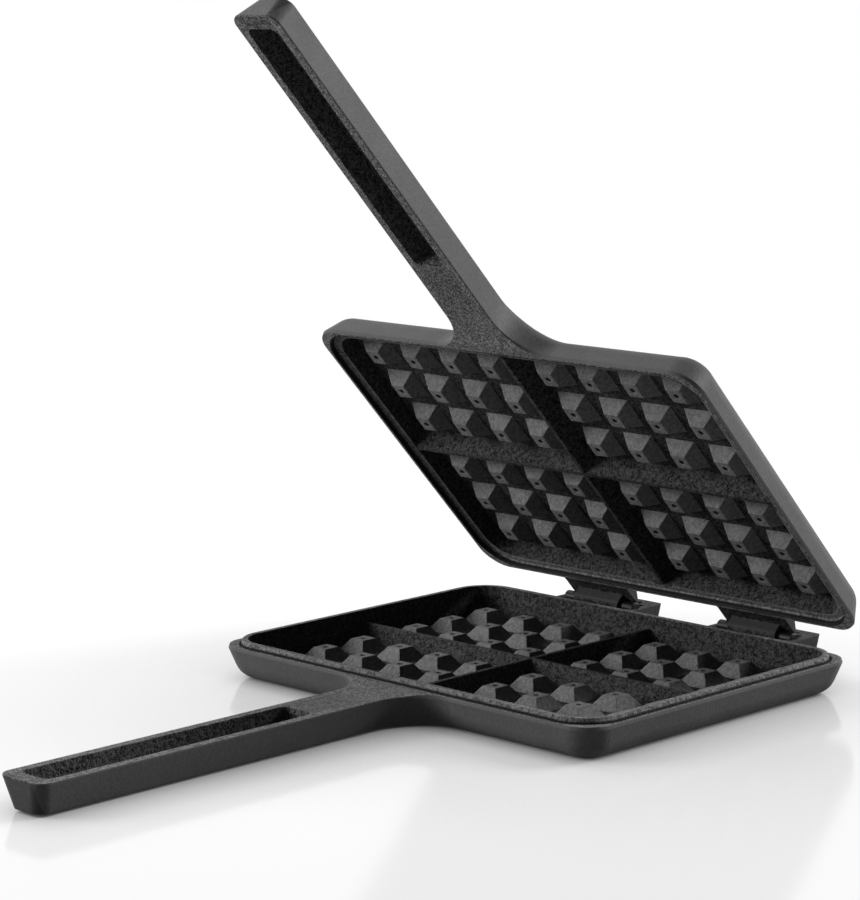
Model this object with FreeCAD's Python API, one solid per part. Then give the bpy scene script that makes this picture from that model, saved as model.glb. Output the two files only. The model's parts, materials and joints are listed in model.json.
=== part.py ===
import FreeCAD, Part
import math
import os

# Stovetop waffle iron: two cast-iron halves on a lift-off hinge, shown partly open.
# Units are millimetres. +X runs along the hinge line, +Y points from the handles to the
# hinge, +Z is up. The origin is the centre of the flat face that the lower half rests on.

V = FreeCAD.Vector
UP = V(0, 0, 1)
ACROSS = V(1, 0, 0)

# Plates, the same outline on both halves
plate_length = 197.0
plate_width = 151.0
plate_depth = 13.5
plate_corner_radius = 11.0
wall_draft_deg = 17.0
base_edge_radius = 9.0
rim_edge_width = 0.7
rim_edge_height = 1.3

# Handles, cast on
handle_width = 24.0
handle_reach = 172.0
handle_root_radius = 17.0
handle_face_drop = 0.8
handle_ramp_margin = 1.5
handle_face_ramp = 6.0
handle_rise = 1.2
handle_rise_ramp = 22.0
handle_base_radius = 2.6
handle_end_corner_radius = 5.0
handle_end_draft_deg = 10.0

# Long pocket in the mating face of each handle
pocket_width = 15.6
pocket_end_margin = 6.5
pocket_root_margin = 45.5
pocket_depth = 8.4
pocket_draft_deg = 9.0
pocket_corner_radius = 3.4

# Raised lip of the lower half and the rabbet of the upper half that takes it
lip_ledge = 2.4
lip_corner_radius = 15.6
lip_groove_width = 0.6
lip_groove_depth = 0.5
lip_height = 2.0
lip_slope_run = 0.8
lip_top_width = 2.2
lip_clearance = 0.3
rabbet_depth = 2.3
rabbet_seat_width = 3.0
joint_gap = 0.3

# Waffle recesses
recess_draft_deg = 15.0
lower_floor_depth = 9.8
upper_floor_depth = 9.2
lower_rib_drop = 3.0
upper_rib_drop = 2.3
rib_crest_width = 1.8
rib_foot_width = 8.6

# Pegs that press the squares into the waffle
peg_columns = 4
peg_rows = 3
peg_pitch_x = 21.0
peg_pitch_y = 20.5
peg_centre_gap = 30.0
peg_top_x = 6.6
peg_top_y = 7.2
peg_side_run = 3.75
lower_peg_drop = 4.9
upper_peg_drop = 4.2
dimple_diameter = 2.8
dimple_depth = 1.1
dimple_sides = 8

# Hinge sockets at the back of the lower half
hinge_spacing = 82.4
axis_behind_rim = 11.0
axis_drop = 1.0
socket_half_width = 21.4
socket_reach = 25.5
socket_rear_web = 4.0
socket_front_web = 3.0
socket_drop = 0.8
socket_underside = 2.6
hinge_draft_deg = 8.0
socket_corner_radius = 2.2
socket_root_radius = 3.0
socket_end_wall = 2.1
well_side_gap = 1.8
socket_edge_size = 1.2
relief_radius = 4.6
relief_step_reach = 6.6
relief_step_drop = 2.2

# Hinge pins, loose in the lugs and in the open slots of the sockets
pin_diameter = 5.0
pin_length = 38.0
pin_running_clearance = 0.05
pin_end_chamfer = 0.5

# Hinge lugs at the back of the upper half
lug_half_width = 17.2
lug_root_radius = 4.0
lug_underside_rise = 2.0
lug_nose_reach = 13.3
lug_shoulder_reach = 7.2
lug_shoulder_rise = 6.5
lug_stop_rise = 10.5
tongue_half_width = 12.0
tongue_taper_deg = 17.0
tongue_start_reach = 6.8
tongue_angle_deg = 60.0
tongue_length = 8.0
tongue_thickness = 5.2
knuckle_radius = 4.0
side_clearance = 0.4

# Pose shown, measured from closed
open_angle_deg = 47.3

# Spare length by which one solid runs into another, or a cutter past a face
overrun = 2.0

half_length = plate_length / 2
half_width = plate_width / 2
draft = math.tan(math.radians(wall_draft_deg))
hinge_draft = math.tan(math.radians(hinge_draft_deg))
end_draft = math.tan(math.radians(handle_end_draft_deg))
hinge_y = half_width + axis_behind_rim
hinge_z = plate_depth - axis_drop
handle_end = half_width + handle_reach
upper_rim = plate_depth + joint_gap
socket_well_half = tongue_half_width + well_side_gap
HINGE = V(0, hinge_y, hinge_z)
doc = FreeCAD.newDocument("waffle_iron")


def box(x0, x1, y0, y1, z0, z1):
    return Part.makeBox(x1 - x0, y1 - y0, z1 - z0, V(x0, y0, z0))


def arc(p0, p1, p2):
    return Part.Arc(p0, p1, p2).toShape()


def corner_arc(cx, cy, radius, start_deg, end_deg, z):
    points = []
    for angle in (start_deg, (start_deg + end_deg) / 2, end_deg):
        turn = math.radians(angle)
        points.append(V(cx + radius * math.cos(turn), cy + radius * math.sin(turn), z))
    return arc(*points)


def wire_through(pieces):
    """Join arcs and the straight runs between them into one closed wire."""
    edges = []
    for index, piece in enumerate(pieces):
        following = pieces[(index + 1) % len(pieces)]
        start = end_point(piece)
        finish = start_point(following)
        if isinstance(piece, Part.Shape):
            edges.append(piece)
        if start.distanceToPoint(finish) > Part.Vertex(start).Tolerance:
            edges.append(Part.makeLine(start, finish))
    return Part.Wire(edges)


def start_point(piece):
    return piece.valueAt(piece.FirstParameter) if isinstance(piece, Part.Shape) else piece


def end_point(piece):
    return piece.valueAt(piece.LastParameter) if isinstance(piece, Part.Shape) else piece


def rounded_rectangle(half_x, half_y, radius, z):
    cx = half_x - radius
    cy = half_y - radius
    return wire_through([
        corner_arc(cx, cy, radius, 0, 90, z),
        corner_arc(-cx, cy, radius, 90, 180, z),
        corner_arc(-cx, -cy, radius, 180, 270, z),
        corner_arc(cx, -cy, radius, 270, 360, z),
    ])


def half_outline(inset, z):
    """Plate and handle outline, with the root of the handle flared into the plate."""
    x = half_length - inset
    y = half_width - inset
    r = plate_corner_radius
    h = handle_width / 2 - inset
    f = handle_root_radius + inset
    e = handle_end_corner_radius
    end = handle_end - inset * end_draft / draft
    return wire_through([
        corner_arc(x - r, y - r, r, 0, 90, z),
        corner_arc(-x + r, y - r, r, 90, 180, z),
        corner_arc(-x + r, -y + r, r, 180, 270, z),
        corner_arc(-h - f, -y - f, f, 90, 0, z),
        corner_arc(-h + e, -end + e, e, 180, 270, z),
        corner_arc(h - e, -end + e, e, 270, 360, z),
        corner_arc(h + f, -y - f, f, 180, 90, z),
        corner_arc(x - r, -y + r, r, 270, 360, z),
    ])


def loft(wires):
    return Part.makeLoft(wires, True, True)


def prism_along_x(outline, x0, x1):
    """Solid from an outline of (y, z) points, between two places along the hinge line."""
    face = Part.Face(Part.makePolygon([V(x0, y, z) for y, z in outline + outline[:1]]))
    return face.extrude(V(x1 - x0, 0, 0))


def frustum(centre, foot, top, z_foot, z_top):
    """Four-sided frustum; foot and top are (half x, half y)."""
    rings = []
    for (hx, hy), z in ((foot, z_foot), (top, z_top)):
        rings.append([V(centre[0] + sx * hx, centre[1] + sy * hy, z)
                      for sx, sy in ((-1, -1), (1, -1), (1, 1), (-1, 1))])
    low, high = rings
    faces = [low[::-1], high]
    for k in range(len(low)):
        n = (k + 1) % len(low)
        faces.append([low[k], low[n], high[n], high[k]])
    shell = Part.Shell([Part.Face(Part.makePolygon(f + f[:1])) for f in faces])
    return Part.Solid(shell)


def cylinder_along_x(y, z, radius, x0, x1):
    return Part.makeCylinder(radius, x1 - x0, V(x0, y, z), ACROSS)


def grid_places(count, pitch):
    """Centres on both sides of the middle rib."""
    one_side = [peg_centre_gap / 2 + k * pitch for k in range(count)]
    return [-place for place in reversed(one_side)] + one_side


def casting_blank():
    """One drafted half without its recess: outside face at z = 0, rim at the top."""
    shoulder = plate_depth - rim_edge_height
    body = loft([half_outline(plate_depth * draft, 0),
                 half_outline(rim_edge_height * draft, shoulder),
                 half_outline(rim_edge_width, plate_depth)])
    source = doc.addObject("Part::Feature", "blank")
    source.Shape = body
    rounded = doc.addObject("Part::Fillet", "rounded")
    rounded.Base = source
    rounded.Edges = underside_radii(body)
    doc.recompute()
    body = rounded.Shape.copy()
    face_start = half_width + handle_ramp_margin
    face_level = plate_depth - handle_face_drop
    above = plate_depth + overrun
    beyond = handle_end + overrun
    over_handle = [(-face_start, plate_depth), (-face_start - handle_face_ramp, face_level),
                   (-beyond, face_level), (-beyond, above), (-face_start, above)]
    rise_start = half_width - base_edge_radius
    under_handle = [(-rise_start, 0), (-rise_start - handle_rise_ramp, handle_rise),
                    (-beyond, handle_rise), (-beyond, -overrun), (-rise_start, -overrun)]
    for outline in (over_handle, under_handle):
        body = body.cut(prism_along_x(outline, -half_length, half_length))
    return body.cut(handle_pocket())


def underside_radii(body):
    """Radii for the edges of the foot outline, changing over along the roots of the handle."""
    plate_edge = -(half_width - plate_depth * draft)
    rows = []
    for number, edge in enumerate(body.Edges, 1):
        ends = [edge.valueAt(edge.FirstParameter), edge.valueAt(edge.LastParameter)]
        if max(p.z for p in ends) > 0:
            continue
        radii = [base_edge_radius if p.y > plate_edge - side_clearance else handle_base_radius
                 for p in ends]
        rows.append((number, radii[0], radii[1]))
    return rows


def handle_pocket():
    """Cutter for the long pocket, drafted towards its floor."""
    level = plate_depth - handle_face_drop
    narrowing = pocket_depth * math.tan(math.radians(pocket_draft_deg))
    near = half_width + pocket_root_margin
    far = handle_end - pocket_end_margin
    rings = []
    for inset, z in ((narrowing, level - pocket_depth), (0, level)):
        ring = rounded_rectangle(pocket_width / 2 - inset, (far - near) / 2 - inset,
                                 pocket_corner_radius - inset, z)
        ring.translate(V(0, -(near + far) / 2, 0))
        rings.append(ring)
    return loft(rings)


def plate_ring(inset, z):
    """Outline parallel to the foot of the lip, at this distance inside the rim."""
    return rounded_rectangle(half_length - inset, half_width - inset,
                             lip_corner_radius + lip_ledge - inset, z)


def waffle_recess(top_inset, top_level, floor_level, rib_level, peg_level):
    """Cutter for the recess: what is left standing in it are the ribs and the pegs."""
    narrowing = (top_level - floor_level) * math.tan(math.radians(recess_draft_deg))
    space = loft([plate_ring(top_inset + narrowing, floor_level), plate_ring(top_inset, top_level)])
    below = floor_level - overrun
    spread = (rib_foot_width - rib_crest_width) / 2 / (rib_level - floor_level)
    low_half = rib_crest_width / 2 + spread * (rib_level - below)
    profile = [(-low_half, below), (low_half, below),
               (rib_crest_width / 2, rib_level), (-rib_crest_width / 2, rib_level)]
    long_rib = prism_along_x(profile, -half_length, half_length)
    cross_rib = long_rib.copy()
    cross_rib.rotate(V(0, 0, 0), UP, 90)
    standing = [long_rib, cross_rib]
    steepness = peg_side_run / (peg_level - floor_level)
    foot_run = steepness * (peg_level - below)
    top = (peg_top_x / 2, peg_top_y / 2)
    foot = (top[0] + foot_run, top[1] + foot_run)
    for place in peg_places():
        standing.append(frustum(place, foot, top, below, peg_level))
    return space.cut(standing)


def peg_places():
    return [(x, y) for y in grid_places(peg_rows, peg_pitch_y)
            for x in grid_places(peg_columns, peg_pitch_x)]


def peg_dimples(peg_level):
    """Pointed pits in the tops of the pegs."""
    widening = dimple_diameter / 2 / dimple_depth
    mouth = peg_level + overrun
    mouth_radius = widening * (dimple_depth + overrun)
    corners = []
    for k in range(dimple_sides):
        turn = 2 * math.pi * (k + 1 / 2) / dimple_sides
        corners.append(V(mouth_radius * math.cos(turn), mouth_radius * math.sin(turn), mouth))
    tip = V(0, 0, peg_level - dimple_depth)
    faces = [Part.Face(Part.makePolygon(corners + corners[:1]))]
    for k, corner in enumerate(corners):
        faces.append(Part.Face(Part.makePolygon([corner, corners[k - 1], tip, corner])))
    pit = Part.Solid(Part.Shell(faces))
    pits = []
    for x, y in peg_places():
        copy = pit.copy()
        copy.translate(V(x, y, 0))
        pits.append(copy)
    return pits


def hinge_block(half_x, end_y, wall_y, root_radius, corner_radius, z):
    """Outline of a block on the back wall, flared into the wall at both sides."""
    side_x = half_x + root_radius
    inner = wall_y - base_edge_radius
    flare_y = wall_y + root_radius
    cx = half_x - corner_radius
    cy = end_y - corner_radius
    return wire_through([
        V(-side_x, inner, z),
        V(side_x, inner, z),
        corner_arc(side_x, flare_y, root_radius, 270, 180, z),
        corner_arc(cx, cy, corner_radius, 0, 90, z),
        corner_arc(-cx, cy, corner_radius, 90, 180, z),
        corner_arc(-side_x, flare_y, root_radius, 0, -90, z),
    ])


def socket_solid():
    """One socket of the lower half, still without the recess for the lug and the pin."""
    rings = []
    levels = ((socket_underside, socket_edge_size), (socket_underside + socket_edge_size, 0),
              (plate_depth - socket_drop, 0))
    for z, edge in levels:
        depth = plate_depth - z
        own = depth * hinge_draft + edge
        rings.append(hinge_block(socket_half_width - own, half_width + socket_reach - own,
                                 half_width - depth * draft,
                                 socket_root_radius, socket_corner_radius, z))
    return loft(rings)


def open_groove(radius, half_x):
    """Cutter for a round-bottomed groove along the hinge line, open at the top."""
    over = plate_depth + overrun
    round_part = cylinder_along_x(hinge_y, hinge_z, radius, -half_x, half_x)
    return round_part.fuse(box(-half_x, half_x, hinge_y - radius, hinge_y + radius, hinge_z, over))


def socket_space():
    """Cutter for one socket: the well for the lug, the relief for its ends, the pin slot."""
    well_end = half_width + socket_reach - socket_rear_web
    well = box(-socket_well_half, socket_well_half, half_width + socket_front_web, well_end,
               -overrun, plate_depth + overrun)
    relief_half = lug_half_width + side_clearance
    relief = open_groove(relief_radius, relief_half)
    step = box(-relief_half, relief_half, hinge_y, hinge_y + relief_step_reach,
               hinge_z - relief_step_drop, plate_depth + overrun)
    slot = open_groove(pin_diameter / 2 + pin_running_clearance, socket_half_width - socket_end_wall)
    return well.fuse([relief, step, slot])


def lug_solid():
    """One lug of the upper half, in the closed position, bored for its pin."""
    underside = plate_depth + lug_underside_rise
    top = plate_depth + lug_stop_rise
    rings = []
    for z in (underside, top):
        own = (z - underside) * hinge_draft
        wall = half_width - (z - upper_rim) * draft
        rings.append(hinge_block(lug_half_width - own, half_width + lug_nose_reach, wall,
                                 lug_root_radius, rim_edge_width, z))
    block = loft(rings)
    nose = half_width + lug_nose_reach
    shoulder = half_width + lug_shoulder_reach
    inside = half_width - plate_depth
    side_view = [(inside, underside), (nose, underside),
                 (shoulder, plate_depth + lug_shoulder_rise), (shoulder, top), (inside, top)]
    block = block.common(prism_along_x(side_view, -half_length, half_length))
    knuckle = cylinder_along_x(hinge_y, hinge_z, knuckle_radius, -tongue_half_width, tongue_half_width)
    neck = box(-tongue_half_width, tongue_half_width, hinge_y - knuckle_radius, hinge_y,
               hinge_z, underside + overrun)
    body = block.fuse([knuckle, neck, tongue()])
    bore = cylinder_along_x(hinge_y, hinge_z, pin_diameter / 2 + pin_running_clearance,
                            -lug_half_width, lug_half_width)
    return body.cut(bore)


def tongue():
    """Tapered stop tongue that runs down and back from the underside of the lug."""
    turn = math.radians(tongue_angle_deg)
    along = V(0, math.cos(turn), -math.sin(turn))
    across = V(0, math.sin(turn), math.cos(turn))
    root = V(0, half_width + tongue_start_reach, plate_depth + lug_underside_rise)
    narrowing = tongue_length * math.tan(math.radians(tongue_taper_deg))
    rings = []
    for half_x, at in ((tongue_half_width, root), (tongue_half_width - narrowing, root + along * tongue_length)):
        far = at + across * tongue_thickness
        corners = [V(s * half_x, p.y, p.z) for s, p in ((-1, at), (1, at), (1, far), (-1, far))]
        rings.append(Part.makePolygon(corners + corners[:1]))
    return loft(rings)


def at_hinges(shape):
    placed = []
    for side in (-1, 1):
        copy = shape.copy()
        copy.translate(V(side * hinge_spacing / 2, 0, 0))
        placed.append(copy)
    return placed


def opened(shape):
    shape.rotate(HINGE, ACROSS, -open_angle_deg)
    return shape


def lower_half():
    body = casting_blank().fuse(at_hinges(socket_solid()))
    body = body.cut(at_hinges(socket_space()))
    lip_top = plate_depth + lip_height
    groove_floor = plate_depth - lip_groove_depth
    groove = loft([plate_ring(lip_ledge - lip_groove_width, groove_floor),
                   plate_ring(lip_ledge - lip_groove_width, plate_depth + overrun)])
    lip = loft([plate_ring(lip_ledge, groove_floor), plate_ring(lip_ledge + lip_slope_run, lip_top)])
    body = body.cut(groove).fuse(lip)
    recess = waffle_recess(lip_ledge + lip_slope_run + lip_top_width, lip_top,
                           plate_depth - lower_floor_depth, plate_depth - lower_rib_drop,
                           plate_depth - lower_peg_drop)
    body = body.cut(recess)
    return body.cut(peg_dimples(plate_depth - lower_peg_drop))


def upper_half():
    """Built closed, mirrored from the way the lower half lies, then swung open."""
    slope = lip_slope_run / lip_height
    flat = lip_ledge - lip_clearance
    seat = plate_depth - rabbet_depth
    rabbet = loft([plate_ring(flat + slope * rabbet_depth, seat),
                   plate_ring(flat - slope * side_clearance, plate_depth + side_clearance)])
    recess = waffle_recess(flat + slope * rabbet_depth + rabbet_seat_width, seat,
                           plate_depth - upper_floor_depth, plate_depth - upper_rib_drop,
                           plate_depth - upper_peg_drop)
    body = turned_over(casting_blank()).fuse(at_hinges(lug_solid()))
    body = body.cut([turned_over(rabbet), turned_over(recess)])
    return opened(body.cut([turned_over(d) for d in peg_dimples(plate_depth - upper_peg_drop)]))


def turned_over(shape):
    return shape.mirror(V(0, 0, (plate_depth + upper_rim) / 2), UP)


def hinge_pin(side):
    start = side * hinge_spacing / 2 - pin_length / 2
    pin = cylinder_along_x(hinge_y, hinge_z, pin_diameter / 2, start, start + pin_length)
    rims = [e for e in pin.Edges if e.Length > pin_diameter and e.BoundBox.XLength < pin_end_chamfer]
    return opened(pin.makeChamfer(pin_end_chamfer, rims))


if __name__ == "__main__":
    os.makedirs("parts", exist_ok=True)
    pieces = {
        "lower_half": lower_half(),
        "upper_half": upper_half(),
        "hinge_pin_left": hinge_pin(-1),
        "hinge_pin_right": hinge_pin(1),
    }
    for name, shape in pieces.items():
        shape.exportStep("parts/" + name + ".step")
        print(name, shape.isValid(), len(shape.Solids), round(shape.Volume))
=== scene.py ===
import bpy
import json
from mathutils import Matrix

bl_info = {
    "name": "Stovetop waffle iron",
    "version": (1, 0, 0),
    "blender": (4, 5, 0),
    "location": "3D View > Sidebar > Waffle iron",
    "description": "Dresses a cast-iron waffle iron and lights it on a white table",
    "category": "Object",
}

import json
import math

import bpy
import bmesh
from mathutils import Matrix, Vector

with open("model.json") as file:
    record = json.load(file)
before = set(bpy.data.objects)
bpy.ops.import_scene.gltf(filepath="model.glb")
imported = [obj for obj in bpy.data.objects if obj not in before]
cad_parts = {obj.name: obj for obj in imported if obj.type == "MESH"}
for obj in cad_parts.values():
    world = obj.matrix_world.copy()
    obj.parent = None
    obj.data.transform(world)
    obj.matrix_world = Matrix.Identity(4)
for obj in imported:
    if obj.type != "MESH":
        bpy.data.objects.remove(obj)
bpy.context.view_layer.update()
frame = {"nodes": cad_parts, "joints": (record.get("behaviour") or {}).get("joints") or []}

# Photograph's camera: place in metres, angles in degrees, and its optical centre in pixels
CAMERA_PLACE = (0.78891, -0.83905, 0.28520)
CAMERA_YAW = 44.978
CAMERA_PITCH = 9.461
CAMERA_ROLL = -0.482
FOCAL_PIXELS = 3058.7
IMAGE_SIZE = (860, 900)
OPTICAL_CENTRE = (438.83, 447.0)
SENSOR_WIDTH = 36.0
NEAREST_SEEN = 0.05
FARTHEST_SEEN = 50.0

# Hinge of the upper half. It stands open at rest, and its patterns turn with it from the closed pose
LID_HINGE = next(joint for joint in frame["joints"] if joint["name"] == "lid_hinge")
HINGE_PLACE = Vector(LID_HINGE["pos_m"])
HINGE_AXIS = Vector(LID_HINGE["axis"])
OPEN_ANGLE = math.radians(-LID_HINGE["range_deg"][0])

# Middles of the two mating faces when closed, in metres
LOWER_FACE = Vector((0, 0, 0.0135))
UPPER_FACE = Vector((0, 0, 0.0138))

# Grid of pegs on both halves, in metres: from the middle to the first peg, and from peg to peg
FIRST_PEG = 0.015
PEG_PITCH_ACROSS = 0.021
PEG_PITCH_ALONG = 0.0205

# Sand grain: values between which its noises mostly lie, and how the fine and the coarse one add up
FINE_SPREAD = (0.32, 0.68)
COARSE_SPREAD = (0.3, 0.7)
RELIEF_SPREAD = (0.2, 0.8)
FINE_SHARE = 0.6
COARSE_FREQUENCY_SHARE = 0.42
MOTTLES_PER_METRE = 34.0
MOTTLED_COLOUR_SHARE = 0.08
MOTTLED_ROUGHNESS = -0.03

# Masks that blend between two values of how far a face looks out of the mating side, from -1 to 1
MOULDED_FACING = (-0.10, 0.02)
FLAT_FACING = (0.35, 0.50)
PEG_FACING = (0.33, 0.40)
FLOOR_FACING = (0.90, 0.95)

# Masks in metres: blur of a sharp border, start of the handle past the lip, and levels of the pocket
# between which its painted shade begins
BORDER_BLUR = 0.0001
HANDLE_START = (-0.03, -0.02)
POCKET_SHADE_LEVELS = (-0.0012, -0.0004)
POCKET_SHADE_SHARE = 0.7

# Edges are painted lighter where the rounded normal leaves the flat one, partly for wear and partly as a
# painted highlight: cosines at no lightening and at full lightening
EDGE_LIGHTENING_AGREEMENT = (0.99, 0.85)
EDGE_SAMPLES = 6

# Drawn lines on the pins, long along the rod: their depth in metres, and how they vary the roughness
LINES_PER_METRE = (60, 4000, 4000)
LINE_SPREAD = (0.2, 0.8)
LINE_DEPTH = 0.00002
LINE_ROUGHNESS = (-0.08, 0.10)

# Lamps: place, the point that each looks at and the side of its square, in metres
LEFT_LAMP = ((-1.00, -1.05, 0.56), (0, 0, 0.08), 0.7)
RIGHT_LAMP = ((0.75, 1.20, 0.80), (0, 0, 0.08), 0.6)
TOP_LAMP = ((-1.20, 0.10, 1.10), (0, 0, 0.05), 0.8)

# Table: from its middle to its sides in metres, its polish and the fineness of its soft shadow
TABLE_REACH = 6.0
TABLE_ROUGHNESS = 0.12
SHADOW_SAMPLES = 8

NUMBER = "NodeSocketFloat"
VECTOR = "NodeSocketVector"


class WaffleIronCasting(bpy.types.PropertyGroup):
    """Sizes and colours of the seasoned cast iron."""

    face_colour: bpy.props.FloatVectorProperty(
        name="Inner colour", description="Colour of the sandy inner faces",
        subtype="COLOR", size=3, default=(0.135, 0.135, 0.135), min=0, max=1)
    wall_colour: bpy.props.FloatVectorProperty(
        name="Wall colour", description="Colour of the smoother outer walls",
        subtype="COLOR", size=3, default=(0.085, 0.085, 0.086), min=0, max=1)
    # Painted shade: the ribs, recess floors, hinge and depth of the pocket take this darker colour in
    # place of the shade that falls there
    painted_shade_colour: bpy.props.FloatVectorProperty(
        name="Painted shade colour", description="Colour of the ribs and recess floors, dark with baked-on oil",
        subtype="COLOR", size=3, default=(0.034, 0.034, 0.034), min=0, max=1)
    # Painted shade: the groove at the foot of the lip and the pits in the pegs take this near-black
    # colour in place of the shade in them
    crease_shade_colour: bpy.props.FloatVectorProperty(
        name="Crease shade colour", description="Colour of the soot in the groove at the foot of the lip",
        subtype="COLOR", size=3, default=(0.008, 0.008, 0.008), min=0, max=1)
    face_roughness: bpy.props.FloatProperty(
        name="Inner roughness", description="Roughness of the sandy inner faces",
        default=0.60, min=0, max=1)
    wall_roughness: bpy.props.FloatProperty(
        name="Wall roughness", description="Roughness of the outer walls",
        default=0.48, min=0, max=1)
    gloss: bpy.props.FloatProperty(
        name="Gloss", description="How much the seasoned iron shines", default=0.05, min=0, max=1)
    grain_size: bpy.props.FloatProperty(
        name="Grain size", description="Width of one grain left by the moulding sand",
        subtype="DISTANCE", unit="LENGTH", default=0.0007, min=0.0001)
    grain_depth: bpy.props.FloatProperty(
        name="Grain depth", description="Height of the grain on the inner faces",
        subtype="DISTANCE", unit="LENGTH", default=0.0005, min=0)
    grain_contrast: bpy.props.FloatProperty(
        name="Grain contrast", description="How much lighter the tips of the grain are than its pits",
        default=0.65, min=0, max=1)
    # Grain contrast where the painted shade lies
    shaded_grain_contrast: bpy.props.FloatProperty(
        name="Shaded grain contrast", description="The same for the ribs and recess floors",
        default=0.95, min=0, max=1)
    peg_grain_share: bpy.props.FloatProperty(
        name="Peg grain", description="Grain on the peg sides, as a share of the inner grain",
        default=0.45, min=0, max=1)
    wall_grain_share: bpy.props.FloatProperty(
        name="Wall grain", description="Grain on the outer walls, as a share of the inner grain",
        default=0.14, min=0, max=1)
    edge_radius: bpy.props.FloatProperty(
        name="Edge radius", description="Rounding of the cast edges",
        subtype="DISTANCE", unit="LENGTH", default=0.0006, min=0)
    # Edge lightening: partly wear, partly a painted highlight
    edge_wear_and_highlight: bpy.props.FloatProperty(
        name="Edge wear and highlight", description="How much lighter the rubbed edges are",
        default=0.5, min=0, max=4)
    lip_half_length: bpy.props.FloatProperty(
        name="Lip half length", description="From the middle to the foot of the lip, along the hinge",
        subtype="DISTANCE", unit="LENGTH", default=0.0961, min=0)
    lip_half_width: bpy.props.FloatProperty(
        name="Lip half width", description="From the middle to the foot of the lip, across the hinge",
        subtype="DISTANCE", unit="LENGTH", default=0.0731, min=0)
    lip_corner_radius: bpy.props.FloatProperty(
        name="Lip corner", description="Corner radius at the foot of the lip",
        subtype="DISTANCE", unit="LENGTH", default=0.0156, min=0)
    groove_width: bpy.props.FloatProperty(
        name="Groove width", description="Width of the sooty groove at the foot of the lip",
        subtype="DISTANCE", unit="LENGTH", default=0.0006, min=0)
    # How far the painted shade of the groove reaches up the lip
    groove_rise: bpy.props.FloatProperty(
        name="Groove rise", description="How far the soot of the groove goes up the lip, in plan",
        subtype="DISTANCE", unit="LENGTH", default=0.0004, min=0)
    pit_radius: bpy.props.FloatProperty(
        name="Pit radius", description="Radius of the sooty pits in the tops of the pegs",
        subtype="DISTANCE", unit="LENGTH", default=0.0011, min=0)
    floor_depth: bpy.props.FloatProperty(
        name="Floor depth", description="A level between the tops of the pegs and the recess floor",
        subtype="DISTANCE", unit="LENGTH", default=0.0070, min=0)
    lip_width: bpy.props.FloatProperty(
        name="Lip width", description="From the foot of the lip to the edge of the recesses",
        subtype="DISTANCE", unit="LENGTH", default=0.0030, min=0)
    rib_half_width: bpy.props.FloatProperty(
        name="Rib half width", description="Half the width of the ribs at their feet",
        subtype="DISTANCE", unit="LENGTH", default=0.0046, min=0)
    hinge_distance: bpy.props.FloatProperty(
        name="Hinge start", description="From the middle to where the sockets and lugs begin",
        subtype="DISTANCE", unit="LENGTH", default=0.0765, min=0)
    pocket_half_width: bpy.props.FloatProperty(
        name="Pocket half width", description="Half the width of the pocket in the handle",
        subtype="DISTANCE", unit="LENGTH", default=0.0079, min=0)


class WaffleIronPins(bpy.types.PropertyGroup):
    """Colour of the hinge pins."""

    steel_colour: bpy.props.FloatVectorProperty(
        name="Pin colour", description="Colour of the drawn steel rod",
        subtype="COLOR", size=3, default=(0.015, 0.015, 0.015), min=0, max=1)
    steel_roughness: bpy.props.FloatProperty(
        name="Pin roughness", description="Roughness of the drawn steel rod",
        default=0.5, min=0, max=1)


class WaffleIronStage(bpy.types.PropertyGroup):
    """Table, lamps and surroundings."""

    table_colour: bpy.props.FloatVectorProperty(
        name="Table colour", description="Colour of the glossy white table",
        subtype="COLOR", size=3, default=(0.23, 0.23, 0.23), min=0, max=1)
    table_gloss: bpy.props.FloatProperty(
        name="Table gloss", description="How much the table mirrors", default=0.12, min=0, max=1)
    table_glow: bpy.props.FloatProperty(
        name="Table glow", description="Light that the table sends back from the room around it",
        default=0.62, min=0, max=1)
    table_bounce: bpy.props.FloatProperty(
        name="Table bounce", description="Share of that light that reaches the iron",
        default=0.32, min=0, max=1)
    shadow_reach: bpy.props.FloatProperty(
        name="Shadow reach", description="How far from the iron the soft shadow on the table reaches",
        subtype="DISTANCE", unit="LENGTH", default=0.22, min=0)
    table_fade: bpy.props.FloatVectorProperty(
        name="Table fade", description="Distances between which the table fades to plain white",
        subtype="XYZ", size=2, unit="LENGTH", default=(0.30, 0.55), min=0)
    left_power: bpy.props.FloatProperty(
        name="Left lamp", description="Power of the lamp on the camera's left",
        subtype="POWER", unit="POWER", default=25.0, min=0)
    right_power: bpy.props.FloatProperty(
        name="Right lamp", description="Power of the lamp on the camera's right",
        subtype="POWER", unit="POWER", default=36.0, min=0)
    top_power: bpy.props.FloatProperty(
        name="Top lamp", description="Power of the lamp high up behind the iron",
        subtype="POWER", unit="POWER", default=10.0, min=0)
    sky_strength: bpy.props.FloatProperty(
        name="Surroundings", description="Strength of the even light from all around",
        default=0.015, min=0)


def new_tree_material(name):
    """A material that holds only its shader and output."""
    material = bpy.data.materials.new(name)
    material.use_nodes = True
    nodes = material.node_tree.nodes
    nodes.clear()
    output = nodes.new("ShaderNodeOutputMaterial")
    shader = nodes.new("ShaderNodeBsdfPrincipled")
    material.node_tree.links.new(shader.outputs["BSDF"], output.inputs["Surface"])
    return material, shader


def add_math(tree, operation, first, second=None, clamp=False):
    """What an operation makes of sockets or numbers, as a socket."""
    node = tree.nodes.new("ShaderNodeMath")
    node.operation = operation
    node.use_clamp = clamp
    for socket, value in zip(node.inputs, (first, second)):
        if isinstance(value, bpy.types.NodeSocket):
            tree.links.new(value, socket)
        elif value is not None:
            socket.default_value = value
    return node.outputs[0]


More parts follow.
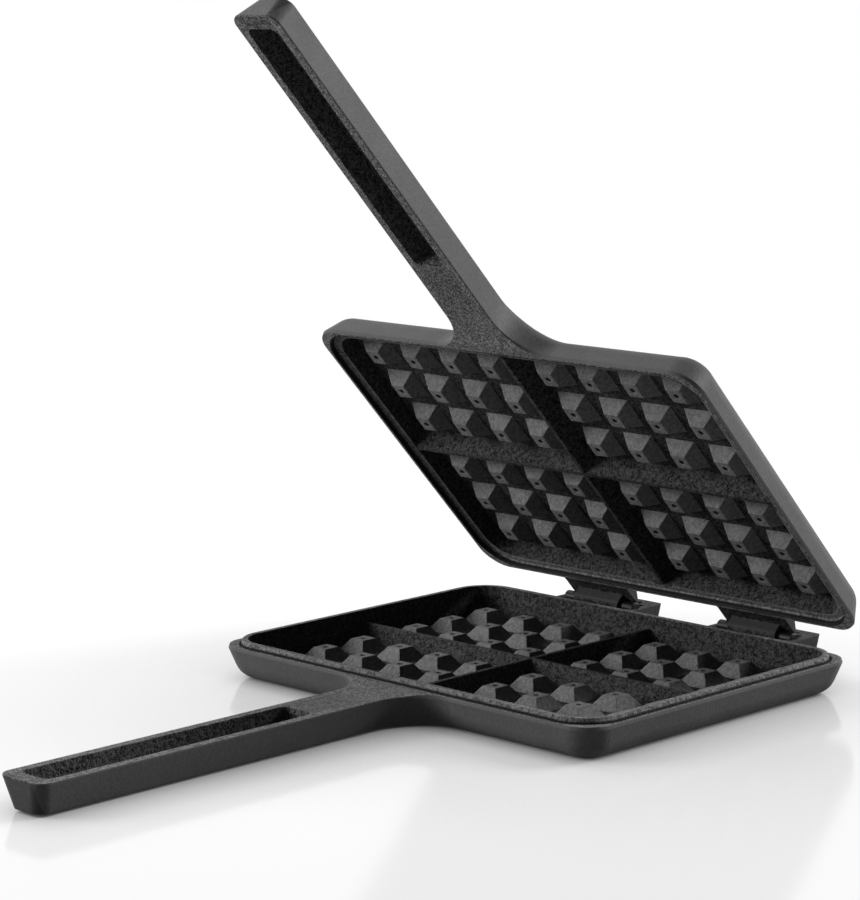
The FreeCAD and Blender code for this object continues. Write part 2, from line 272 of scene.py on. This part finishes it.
def add_noise(tree, place, scale, detail, roughness=0.5):
    """Noise from 0 to 1 at a place."""
    node = tree.nodes.new("ShaderNodeTexNoise")
    node.inputs["Detail"].default_value = detail
    node.inputs["Roughness"].default_value = roughness
    tree.links.new(place, node.inputs["Vector"])
    if isinstance(scale, bpy.types.NodeSocket):
        tree.links.new(scale, node.inputs["Scale"])
    else:
        node.inputs["Scale"].default_value = scale
    return node.outputs["Fac"]


def add_range(tree, value, low, high, to_low=0.0, to_high=1.0):
    """One number where a value is at its low end, another at its high end, and a blend between."""
    node = tree.nodes.new("ShaderNodeMapRange")
    tree.links.new(value, node.inputs["Value"])
    for name, number in (("From Min", low), ("From Max", high), ("To Min", to_low), ("To Max", to_high)):
        node.inputs[name].default_value = number
    return node.outputs["Result"]


def add_vector(tree, operation, first, second):
    """A node that works on two vectors."""
    node = tree.nodes.new("ShaderNodeVectorMath")
    node.operation = operation
    for socket, value in zip(node.inputs, (first, second)):
        if isinstance(value, bpy.types.NodeSocket):
            tree.links.new(value, socket)
        else:
            socket.default_value = value
    return node


def add_length(tree, across, along):
    """The length of a step with these two sides."""
    squares = [add_math(tree, "MULTIPLY", side, side) for side in (across, along)]
    return add_math(tree, "SQRT", add_math(tree, "ADD", *squares))


def new_group(name, inputs, outputs):
    """An empty node group with named inputs and outputs."""
    group = bpy.data.node_groups.new(name, "ShaderNodeTree")
    for label, kind in inputs:
        group.interface.new_socket(label, in_out="INPUT", socket_type=kind)
    for label, kind in outputs:
        group.interface.new_socket(label, in_out="OUTPUT", socket_type=kind)
    return group, group.nodes.new("NodeGroupInput"), group.nodes.new("NodeGroupOutput")


def add_colour_mix(tree, factor, first, second):
    """The first colour where the factor is 0, the second where it is 1."""
    node = tree.nodes.new("ShaderNodeMix")
    node.data_type = "RGBA"
    tree.links.new(factor, node.inputs["Factor"])
    for socket, value in ((node.inputs[6], first), (node.inputs[7], second)):
        if isinstance(value, bpy.types.NodeSocket):
            tree.links.new(value, socket)
        else:
            socket.default_value = (*value, 1)
    return node.outputs[2]


def add_border(tree, distance, before=0.0, after=1.0):
    """One number before a border and another after it, from the signed distance past it."""
    return add_range(tree, distance, -BORDER_BLUR, BORDER_BLUR, before, after)


def sand_grain_group():
    """Relief, speckle and mottling that moulding sand leaves on cast iron."""
    name = "Sand grain"
    if name in bpy.data.node_groups:
        return bpy.data.node_groups[name]
    group, source, result = new_group(
        name, (("Place", VECTOR), ("Grains per metre", NUMBER)),
        (("Relief", NUMBER), ("Speckle", NUMBER), ("Mottling", NUMBER)))
    place = source.outputs["Place"]
    grains = source.outputs["Grains per metre"]

    fine = add_range(group, add_noise(group, place, grains, detail=2.0, roughness=0.6), *FINE_SPREAD)
    coarse_grains = add_math(group, "MULTIPLY", grains, COARSE_FREQUENCY_SHARE)
    coarse = add_range(group, add_noise(group, place, coarse_grains, detail=1.0), *COARSE_SPREAD)
    relief = add_math(group, "ADD", add_math(group, "MULTIPLY", fine, FINE_SHARE),
                      add_math(group, "MULTIPLY", coarse, 1 - FINE_SHARE))
    group.links.new(relief, result.inputs["Relief"])
    group.links.new(add_range(group, relief, *RELIEF_SPREAD, -1.0, 1.0), result.inputs["Speckle"])

    wide = add_noise(group, place, MOTTLES_PER_METRE, detail=4.0, roughness=0.6)
    group.links.new(add_range(group, wide, *COARSE_SPREAD, -1.0, 1.0), result.inputs["Mottling"])
    return group


def add_distance_past_lip(group, value, across, along):
    """How far a point lies outside the foot of the lip, a rectangle with round corners."""
    over_x = add_math(group, "SUBTRACT", across,
                      add_math(group, "SUBTRACT", value["Half length"], value["Corner"]))
    over_y = add_math(group, "SUBTRACT", add_math(group, "ABSOLUTE", along),
                      add_math(group, "SUBTRACT", value["Half width"], value["Corner"]))
    outer = add_length(group, add_math(group, "MAXIMUM", over_x, 0.0),
                       add_math(group, "MAXIMUM", over_y, 0.0))
    inner = add_math(group, "MINIMUM", add_math(group, "MAXIMUM", over_x, over_y), 0.0)
    return add_math(group, "SUBTRACT", add_math(group, "ADD", outer, inner), value["Corner"])


def add_distance_from_peg(group, across, along):
    """How far a point lies from the middle of the nearest peg."""
    sides = []
    for distance, pitch in ((across, PEG_PITCH_ACROSS),
                            (add_math(group, "ABSOLUTE", along), PEG_PITCH_ALONG)):
        past_first = add_math(group, "SUBTRACT", distance, FIRST_PEG)
        sides.append(add_math(group, "PINGPONG", past_first, pitch / 2))
    return add_length(group, *sides)


def mating_side_group():
    """Masks for one half: the sandy side that the pattern plate shaped, its pegs, and the painted shade
    in its recesses, hinge, pocket, groove and pits.
    """
    name = "Mating side"
    if name in bpy.data.node_groups:
        return bpy.data.node_groups[name]
    sizes = ("Half length", "Half width", "Corner", "Groove", "Pocket", "Lip", "Rib", "Hinge", "Rise",
             "Pit", "Floor")
    group, source, result = new_group(
        name, (("Place", VECTOR), ("Normal", VECTOR), ("Centre", VECTOR), ("Along", VECTOR),
               ("Inwards", VECTOR), *((size, NUMBER) for size in sizes)),
        (("Sandy", NUMBER), ("Painted shade", NUMBER), ("Pegs", NUMBER), ("Groove", NUMBER)))
    value = source.outputs

    # Place on the half, from the middle of its mating face, and how far the surface looks out of it
    local = add_vector(group, "SUBTRACT", value["Place"], value["Centre"]).outputs["Vector"]
    split = group.nodes.new("ShaderNodeSeparateXYZ")
    group.links.new(local, split.inputs[0])
    across = add_math(group, "ABSOLUTE", split.outputs["X"])
    along = add_vector(group, "DOT_PRODUCT", local, value["Along"]).outputs["Value"]
    height = add_vector(group, "DOT_PRODUCT", local, value["Inwards"]).outputs["Value"]
    facing = add_vector(group, "DOT_PRODUCT", value["Normal"], value["Inwards"]).outputs["Value"]
    past_lip = add_distance_past_lip(group, value, across, along)
    open_side = add_range(group, facing, *MOULDED_FACING)

    # Sandy: all that lies inside the lip or in the handle's pocket, and every flat face
    past_plate = add_math(group, "ADD", along, value["Half width"])
    in_pocket = add_math(group, "MULTIPLY", add_math(group, "LESS_THAN", across, value["Pocket"]),
                         add_range(group, past_plate, *HANDLE_START, 1.0, 0.0))
    within = add_math(group, "MAXIMUM", add_border(group, past_lip, 1.0, 0.0), in_pocket)
    inside = add_math(group, "MULTIPLY", within, open_side)
    flat_face = add_range(group, facing, *FLAT_FACING)
    group.links.new(add_math(group, "MAXIMUM", inside, flat_face), result.inputs["Sandy"])

    # Pegs: what stands up from the recess floors and is off the ribs
    past_recess = add_math(group, "ADD", past_lip, value["Lip"])
    recess = add_math(group, "MULTIPLY", add_border(group, past_recess, 1.0, 0.0), open_side)
    above_floor = add_border(group, add_math(group, "ADD", height, value["Floor"]))
    off_floor = add_math(group, "MAXIMUM", add_range(group, facing, *FLOOR_FACING, 1.0, 0.0), above_floor)
    from_ribs = add_math(group, "MINIMUM", across, add_math(group, "ABSOLUTE", along))
    off_ribs = add_math(group, "GREATER_THAN", from_ribs, value["Rib"])
    pegs = add_math(group, "MULTIPLY", add_math(group, "MULTIPLY", recess, off_floor),
                    add_math(group, "MULTIPLY", add_range(group, facing, *PEG_FACING), off_ribs))
    group.links.new(pegs, result.inputs["Pegs"])

    # Painted shade: the rest of the recesses, the hinge and the depth of the pocket are painted darker,
    # standing in for the shade that falls there
    hinge_shade = add_border(group, add_math(group, "SUBTRACT", along, value["Hinge"]))
    shaded = add_math(group, "MAXIMUM", add_math(group, "SUBTRACT", recess, pegs), hinge_shade)
    pocket_shade = add_range(group, height, *POCKET_SHADE_LEVELS, POCKET_SHADE_SHARE, 0.0)
    shaded = add_math(group, "MAXIMUM", shaded, add_math(group, "MULTIPLY", in_pocket, pocket_shade))
    group.links.new(shaded, result.inputs["Painted shade"])

    # Painted shade in the groove at the foot of the lip and in the pits in the pegs
    from_peg = add_distance_from_peg(group, across, along)
    pit = add_border(group, add_math(group, "SUBTRACT", from_peg, value["Pit"]), 1.0, 0.0)
    pit = add_math(group, "MULTIPLY", pit, pegs)
    inner_side = add_border(group, add_math(group, "ADD", past_lip, value["Rise"]))
    outer_side = add_border(group, add_math(group, "SUBTRACT", past_lip, value["Groove"]), 1.0, 0.0)
    groove = add_math(group, "MULTIPLY", add_math(group, "MULTIPLY", inner_side, outer_side), open_side)
    group.links.new(add_math(group, "MAXIMUM", groove, pit), result.inputs["Groove"])
    return group


def add_sand_grain(tree, settings, coordinates):
    """The sand grain at one size, as its relief, speckle and mottling."""
    grain = tree.nodes.new("ShaderNodeGroup")
    grain.node_tree = sand_grain_group()
    tree.links.new(coordinates["Object"], grain.inputs["Place"])
    grain.inputs["Grains per metre"].default_value = 1 / settings.grain_size
    return grain.outputs


def add_mating_side(tree, settings, coordinates, centre, along, inwards):
    """The masks of one half, whose mating face has this middle and looks inwards."""
    side = tree.nodes.new("ShaderNodeGroup")
    side.node_tree = mating_side_group()
    tree.links.new(coordinates["Object"], side.inputs["Place"])
    tree.links.new(coordinates["Normal"], side.inputs["Normal"])
    for label, value in (("Centre", centre), ("Along", along), ("Inwards", inwards),
                         ("Half length", settings.lip_half_length),
                         ("Half width", settings.lip_half_width),
                         ("Corner", settings.lip_corner_radius),
                         ("Groove", settings.groove_width),
                         ("Pocket", settings.pocket_half_width),
                         ("Lip", settings.lip_width),
                         ("Rib", settings.rib_half_width),
                         ("Hinge", settings.hinge_distance),
                         ("Rise", settings.groove_rise),
                         ("Pit", settings.pit_radius),
                         ("Floor", settings.floor_depth)):
        side.inputs[label].default_value = value
    return side.outputs


def add_rounded_edges(tree, settings):
    """The normal with its edges rounded, and how much lighter the edges are painted, partly for wear and
    partly as a painted highlight.
    """
    rounding = tree.nodes.new("ShaderNodeBevel")
    rounding.samples = EDGE_SAMPLES
    rounding.inputs["Radius"].default_value = settings.edge_radius
    geometry = tree.nodes.new("ShaderNodeNewGeometry")
    agreement = add_vector(tree, "DOT_PRODUCT", rounding.outputs["Normal"], geometry.outputs["Normal"])
    rubbed_and_highlit = add_range(tree, agreement.outputs["Value"], *EDGE_LIGHTENING_AGREEMENT, 0.0, settings.edge_wear_and_highlight)
    return rounding.outputs["Normal"], rubbed_and_highlit


def add_bump(tree, height, depth, shader):
    """Relief of this depth on a shader's surface, as its bump node."""
    bump = tree.nodes.new("ShaderNodeBump")
    bump.inputs["Distance"].default_value = depth
    tree.links.new(height, bump.inputs["Height"])
    tree.links.new(bump.outputs["Normal"], shader.inputs["Normal"])
    return bump


def cast_iron_material(name, settings, centre, along, inwards):
    """Seasoned iron, sandy on the mating side and in the pocket, smoother on the outer walls, with
    painted shade in its hollows and edges lightened partly by wear and partly by a painted highlight.
    """
    material, shader = new_tree_material(name)
    tree = material.node_tree
    coordinates = tree.nodes.new("ShaderNodeTexCoord").outputs
    grain = add_sand_grain(tree, settings, coordinates)
    side = add_mating_side(tree, settings, coordinates, centre, along, inwards)
    rounded_normal, rubbed_and_highlit = add_rounded_edges(tree, settings)
    amount = add_math(
        tree, "MULTIPLY", add_range(tree, side["Sandy"], 0.0, 1.0, settings.wall_grain_share, 1.0),
        add_range(tree, side["Pegs"], 0.0, 1.0, 1.0, settings.peg_grain_share))

    colour = add_colour_mix(tree, side["Sandy"], settings.wall_colour, settings.face_colour)
    # Painted shade on the ribs, recess floors, hinge and depth of the pocket
    colour = add_colour_mix(tree, side["Painted shade"], colour, settings.painted_shade_colour)
    contrast = add_range(tree, side["Painted shade"], 0.0, 1.0, settings.grain_contrast, settings.shaded_grain_contrast)
    speckle = add_math(tree, "MULTIPLY", add_math(tree, "MULTIPLY", grain["Speckle"], amount), contrast)
    mottling = add_math(tree, "MULTIPLY", grain["Mottling"], MOTTLED_COLOUR_SHARE)
    # The edge lightening added here is partly wear and partly painted highlight
    shade = add_math(tree, "ADD", add_math(tree, "ADD", speckle, mottling), rubbed_and_highlit)
    toned = tree.nodes.new("ShaderNodeVectorMath")
    toned.operation = "SCALE"
    tree.links.new(colour, toned.inputs[0])
    tree.links.new(add_math(tree, "ADD", shade, 1.0), toned.inputs["Scale"])
    # Painted shade in the groove and the pits
    crease_shaded_colour = add_colour_mix(tree, side["Groove"], toned.outputs["Vector"], settings.crease_shade_colour)
    tree.links.new(crease_shaded_colour, shader.inputs["Base Color"])

    roughness = add_range(tree, side["Sandy"], 0.0, 1.0, settings.wall_roughness, settings.face_roughness)
    uneven = add_math(tree, "MULTIPLY", grain["Mottling"], MOTTLED_ROUGHNESS)
    tree.links.new(add_math(tree, "ADD", roughness, uneven, clamp=True), shader.inputs["Roughness"])
    shader.inputs["Specular IOR Level"].default_value = settings.gloss

    relief = add_math(tree, "MULTIPLY", grain["Relief"], amount)
    bump = add_bump(tree, relief, settings.grain_depth, shader)
    tree.links.new(rounded_normal, bump.inputs["Normal"])
    return material


def drawn_steel_material(settings):
    """Oiled steel rod with fine lines along its length."""
    material, shader = new_tree_material("Drawn steel")
    tree = material.node_tree
    coordinates = tree.nodes.new("ShaderNodeTexCoord").outputs
    stretch = tree.nodes.new("ShaderNodeMapping")
    stretch.inputs["Scale"].default_value = LINES_PER_METRE
    tree.links.new(coordinates["Object"], stretch.inputs["Vector"])
    lines = add_noise(tree, stretch.outputs["Vector"], scale=1.0, detail=2.0)
    roughness = add_range(tree, lines, *LINE_SPREAD,
                          *(settings.steel_roughness + change for change in LINE_ROUGHNESS))
    tree.links.new(roughness, shader.inputs["Roughness"])
    shader.inputs["Base Color"].default_value = (*settings.steel_colour, 1)
    shader.inputs["Metallic"].default_value = 1.0
    add_bump(tree, lines, LINE_DEPTH, shader)
    return material


def set_material(node, material):
    """Put one material on all of a CAD node."""
    for slot in node.material_slots:
        slot.material = material


class WAFFLEIRON_OT_lower_half(bpy.types.Operator):
    """Give the lower half its cast iron"""

    bl_idname = "waffleiron.lower_half"
    bl_label = "Lower half"

    def execute(self, context):
        iron = cast_iron_material("Cast iron, lower half", context.scene.waffle_iron_casting,
                                  LOWER_FACE, (0, 1, 0), (0, 0, 1))
        set_material(frame["nodes"]["lower_half"], iron)
        return {"FINISHED"}


class WAFFLEIRON_OT_upper_half(bpy.types.Operator):
    """Give the upper half its cast iron"""

    bl_idname = "waffleiron.upper_half"
    bl_label = "Upper half"

    def execute(self, context):
        turn = Matrix.Rotation(OPEN_ANGLE, 3, HINGE_AXIS)
        centre = turn @ (UPPER_FACE - HINGE_PLACE) + HINGE_PLACE
        iron = cast_iron_material("Cast iron, upper half", context.scene.waffle_iron_casting,
                                  centre, turn @ Vector((0, 1, 0)), turn @ Vector((0, 0, -1)))
        set_material(frame["nodes"]["upper_half"], iron)
        return {"FINISHED"}


class WAFFLEIRON_OT_hinge_pins(bpy.types.Operator):
    """Give the hinge pins their drawn steel"""

    bl_idname = "waffleiron.hinge_pins"
    bl_label = "Hinge pins"

    def execute(self, context):
        steel = drawn_steel_material(context.scene.waffle_iron_pins)
        for side in ("left", "right"):
            set_material(frame["nodes"]["hinge_pin_" + side], steel)
        return {"FINISHED"}


def camera_axes():
    """Right, up and forward of the photograph's camera."""
    yaw, pitch, roll = (math.radians(a) for a in (CAMERA_YAW, CAMERA_PITCH, CAMERA_ROLL))
    forward = Vector((-math.cos(pitch) * math.sin(yaw), math.cos(pitch) * math.cos(yaw),
                      -math.sin(pitch)))
    right = Vector((math.cos(yaw), math.sin(yaw), 0))
    up = right.cross(forward)
    return (right * math.cos(roll) + up * math.sin(roll),
            up * math.cos(roll) - right * math.sin(roll), forward)


def add_camera():
    """The photograph's camera, with its lens and its shifted centre."""
    right, up, forward = camera_axes()
    data = bpy.data.cameras.new("Camera")
    data.sensor_fit = "HORIZONTAL"
    data.sensor_width = SENSOR_WIDTH
    data.lens = FOCAL_PIXELS / IMAGE_SIZE[0] * SENSOR_WIDTH
    data.shift_x = (IMAGE_SIZE[0] / 2 - OPTICAL_CENTRE[0]) / IMAGE_SIZE[0]
    data.shift_y = (OPTICAL_CENTRE[1] - IMAGE_SIZE[1] / 2) / IMAGE_SIZE[0]
    data.clip_start = NEAREST_SEEN
    data.clip_end = FARTHEST_SEEN
    camera = bpy.data.objects.new("Camera", data)
    turn = Matrix((right, up, -forward)).transposed().to_4x4()
    camera.matrix_world = Matrix.Translation(CAMERA_PLACE) @ turn
    bpy.context.scene.collection.objects.link(camera)
    bpy.context.scene.camera = camera


def add_lamp(name, place, target, side, power):
    """A square lamp that looks at a point."""
    data = bpy.data.lights.new(name, "AREA")
    data.shape = "SQUARE"
    data.size = side
    data.energy = power
    lamp = bpy.data.objects.new(name, data)
    direction = Vector(target) - Vector(place)
    turn = direction.to_track_quat("-Z", "Y").to_matrix().to_4x4()
    lamp.matrix_world = Matrix.Translation(place) @ turn
    bpy.context.scene.collection.objects.link(lamp)


def seen_directly(tree):
    """1 for rays that see a thing as the camera, a mirror or glass would."""
    path = tree.nodes.new("ShaderNodeLightPath")
    seen = add_math(tree, "MAXIMUM", path.outputs["Is Camera Ray"], path.outputs["Is Glossy Ray"])
    return add_math(tree, "MAXIMUM", seen, path.outputs["Is Transmission Ray"])


def add_surroundings(settings):
    """Plain white all around, which lights the iron only faintly."""
    world = bpy.data.worlds.new("Surroundings")
    world.use_nodes = True
    tree = world.node_tree
    tree.nodes.clear()
    output = tree.nodes.new("ShaderNodeOutputWorld")
    background = tree.nodes.new("ShaderNodeBackground")
    background.inputs["Color"].default_value = (1, 1, 1, 1)
    strength = add_range(tree, seen_directly(tree), 0.0, 1.0, settings.sky_strength, 1.0)
    tree.links.new(strength, background.inputs["Strength"])
    tree.links.new(background.outputs["Background"], output.inputs["Surface"])
    bpy.context.scene.world = world


def table_material(settings):
    """Glossy white that keeps the iron's shadow and fades into the white surroundings."""
    material, shader = new_tree_material("White table")
    tree = material.node_tree
    seen = seen_directly(tree)
    unseen_colour = [part * settings.table_bounce for part in settings.table_colour]
    colour = add_colour_mix(tree, seen, unseen_colour, settings.table_colour)
    tree.links.new(colour, shader.inputs["Base Color"])
    shader.inputs["Roughness"].default_value = TABLE_ROUGHNESS
    shader.inputs["Specular IOR Level"].default_value = settings.table_gloss

    # Glow that the iron shelters the table from, so that a soft shadow is left round it
    shelter = tree.nodes.new("ShaderNodeAmbientOcclusion")
    shelter.samples = SHADOW_SAMPLES
    shelter.inputs["Distance"].default_value = settings.shadow_reach
    glow = add_range(tree, seen, 0.0, 1.0, settings.table_glow * settings.table_bounce,
                     settings.table_glow)
    shader.inputs["Emission Color"].default_value = (1, 1, 1, 1)
    tree.links.new(add_math(tree, "MULTIPLY", shelter.outputs["AO"], glow),
                   shader.inputs["Emission Strength"])

    # Away from the iron the table turns plain white
    coordinates = tree.nodes.new("ShaderNodeTexCoord").outputs
    distance = tree.nodes.new("ShaderNodeVectorMath")
    distance.operation = "LENGTH"
    tree.links.new(coordinates["Object"], distance.inputs[0])
    faded = add_range(tree, distance.outputs["Value"], *settings.table_fade)
    plain = tree.nodes.new("ShaderNodeEmission")
    blend = tree.nodes.new("ShaderNodeMixShader")
    tree.links.new(add_math(tree, "MULTIPLY", seen, faded), blend.inputs["Fac"])
    tree.links.new(shader.outputs["BSDF"], blend.inputs[1])
    tree.links.new(plain.outputs["Emission"], blend.inputs[2])
    output = next(node for node in tree.nodes if node.type == "OUTPUT_MATERIAL")
    tree.links.new(blend.outputs["Shader"], output.inputs["Surface"])
    return material


class WAFFLEIRON_OT_stage(bpy.types.Operator):
    """Set up the table, the lamps, the surroundings and the camera"""

    bl_idname = "waffleiron.stage"
    bl_label = "Stage"

    def execute(self, context):
        settings = context.scene.waffle_iron_stage
        mesh = bpy.data.meshes.new("Table")
        shape = bmesh.new()
        bmesh.ops.create_grid(shape, x_segments=1, y_segments=1, size=TABLE_REACH)
        shape.to_mesh(mesh)
        shape.free()
        mesh.materials.append(table_material(settings))
        table = bpy.data.objects.new("Table", mesh)
        context.scene.collection.objects.link(table)
        add_surroundings(settings)
        add_lamp("Left lamp", *LEFT_LAMP, settings.left_power)
        add_lamp("Right lamp", *RIGHT_LAMP, settings.right_power)
        add_lamp("Top lamp", *TOP_LAMP, settings.top_power)
        add_camera()
        context.scene.view_settings.view_transform = "Standard"
        return {"FINISHED"}


class WAFFLEIRON_PT_panel(bpy.types.Panel):
    """Lists the pieces and their settings"""

    bl_idname = "WAFFLEIRON_PT_panel"
    bl_label = "Waffle iron"
    bl_space_type = "VIEW_3D"
    bl_region_type = "UI"
    bl_category = "Waffle iron"

    def draw(self, context):
        layout = self.layout
        for group in (context.scene.waffle_iron_casting, context.scene.waffle_iron_pins,
                      context.scene.waffle_iron_stage):
            column = layout.column()
            for name in group.bl_rna.properties.keys():
                if name not in ("rna_type", "name"):
                    column.prop(group, name)
        for operator in PIECES:
            layout.operator(operator.bl_idname)


SETTINGS = {
    "waffle_iron_casting": WaffleIronCasting,
    "waffle_iron_pins": WaffleIronPins,
    "waffle_iron_stage": WaffleIronStage,
}
PIECES = (WAFFLEIRON_OT_lower_half, WAFFLEIRON_OT_upper_half, WAFFLEIRON_OT_hinge_pins,
          WAFFLEIRON_OT_stage)


def register():
    for item in (*SETTINGS.values(), *PIECES, WAFFLEIRON_PT_panel):
        bpy.utils.register_class(item)
    for name, group in SETTINGS.items():
        setattr(bpy.types.Scene, name, bpy.props.PointerProperty(type=group))


def unregister():
    for name in SETTINGS:
        delattr(bpy.types.Scene, name)
    for item in (WAFFLEIRON_PT_panel, *reversed(PIECES), *SETTINGS.values()):
        bpy.utils.unregister_class(item)


def main():
    register()
    bpy.ops.waffleiron.stage()
    bpy.ops.waffleiron.lower_half()
    bpy.ops.waffleiron.upper_half()
    bpy.ops.waffleiron.hinge_pins()


if __name__ == "__main__":
    main()
